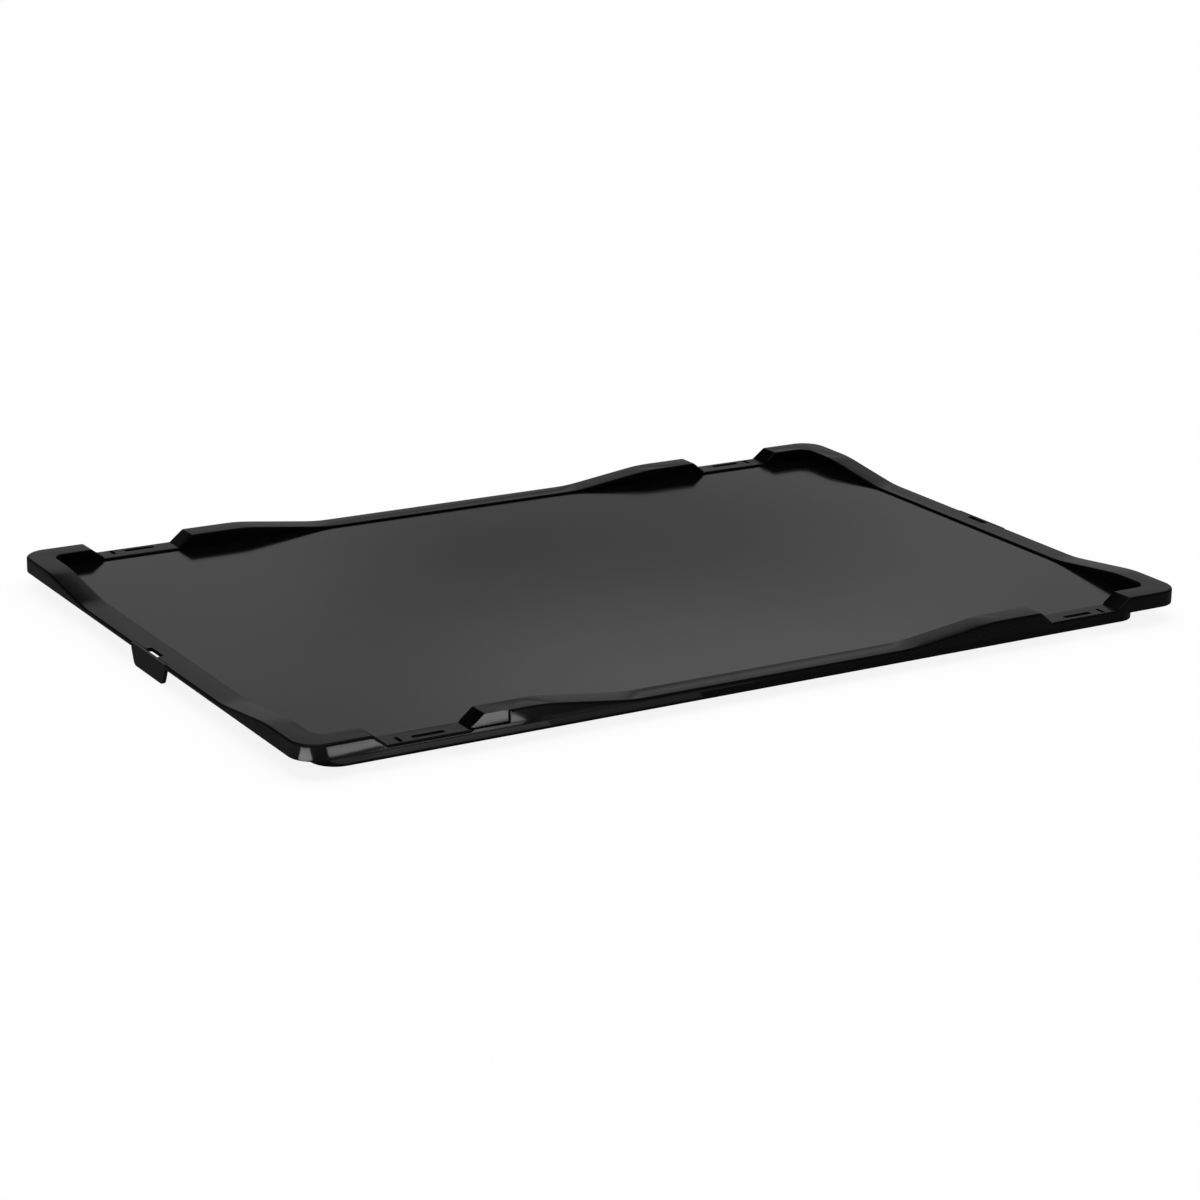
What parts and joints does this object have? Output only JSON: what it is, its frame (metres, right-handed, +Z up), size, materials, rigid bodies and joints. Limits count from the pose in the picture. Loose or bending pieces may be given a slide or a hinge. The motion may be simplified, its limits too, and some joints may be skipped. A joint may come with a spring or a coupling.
{
  "type": "stacking container lid",
  "caption": "Flat stacking lid for an oblong transport container, with a wave-shaped raised rim that locates the next container, a skirt below and a snap latch on each short side.",
  "frame": {"origin": "centre of the footprint, on the plane that the skirt's lower edge stands on", "axes": "+X along the long side, +Y along the short side, +Z up, out of the side that the next container stands on"},
  "size_m": [0.6, 0.4, 0.0208],
  "materials": {
    "moulding": "black injection-moulded polypropylene, smooth satin"
  },
  "bodies": {
    "lid": {"lid": "moulding"},
    "left_latch": {"left_latch": "moulding"},
    "right_latch": {"right_latch": "moulding"}
  },
  "joints": [
    {"name": "left_latch_flex", "type": "hinge", "parent": "lid", "child": "left_latch", "pos_m": [-0.2989, 0, 0.0126], "axis": [0, 1, 0], "range_deg": [0, 12], "stiffness_Nm_per_rad": 0.02},
    {"name": "right_latch_flex", "type": "hinge", "parent": "lid", "child": "right_latch", "pos_m": [0.2989, 0, 0.0126], "axis": [0, -1, 0], "range_deg": [0, 12], "stiffness_Nm_per_rad": 0.02}
  ]
}
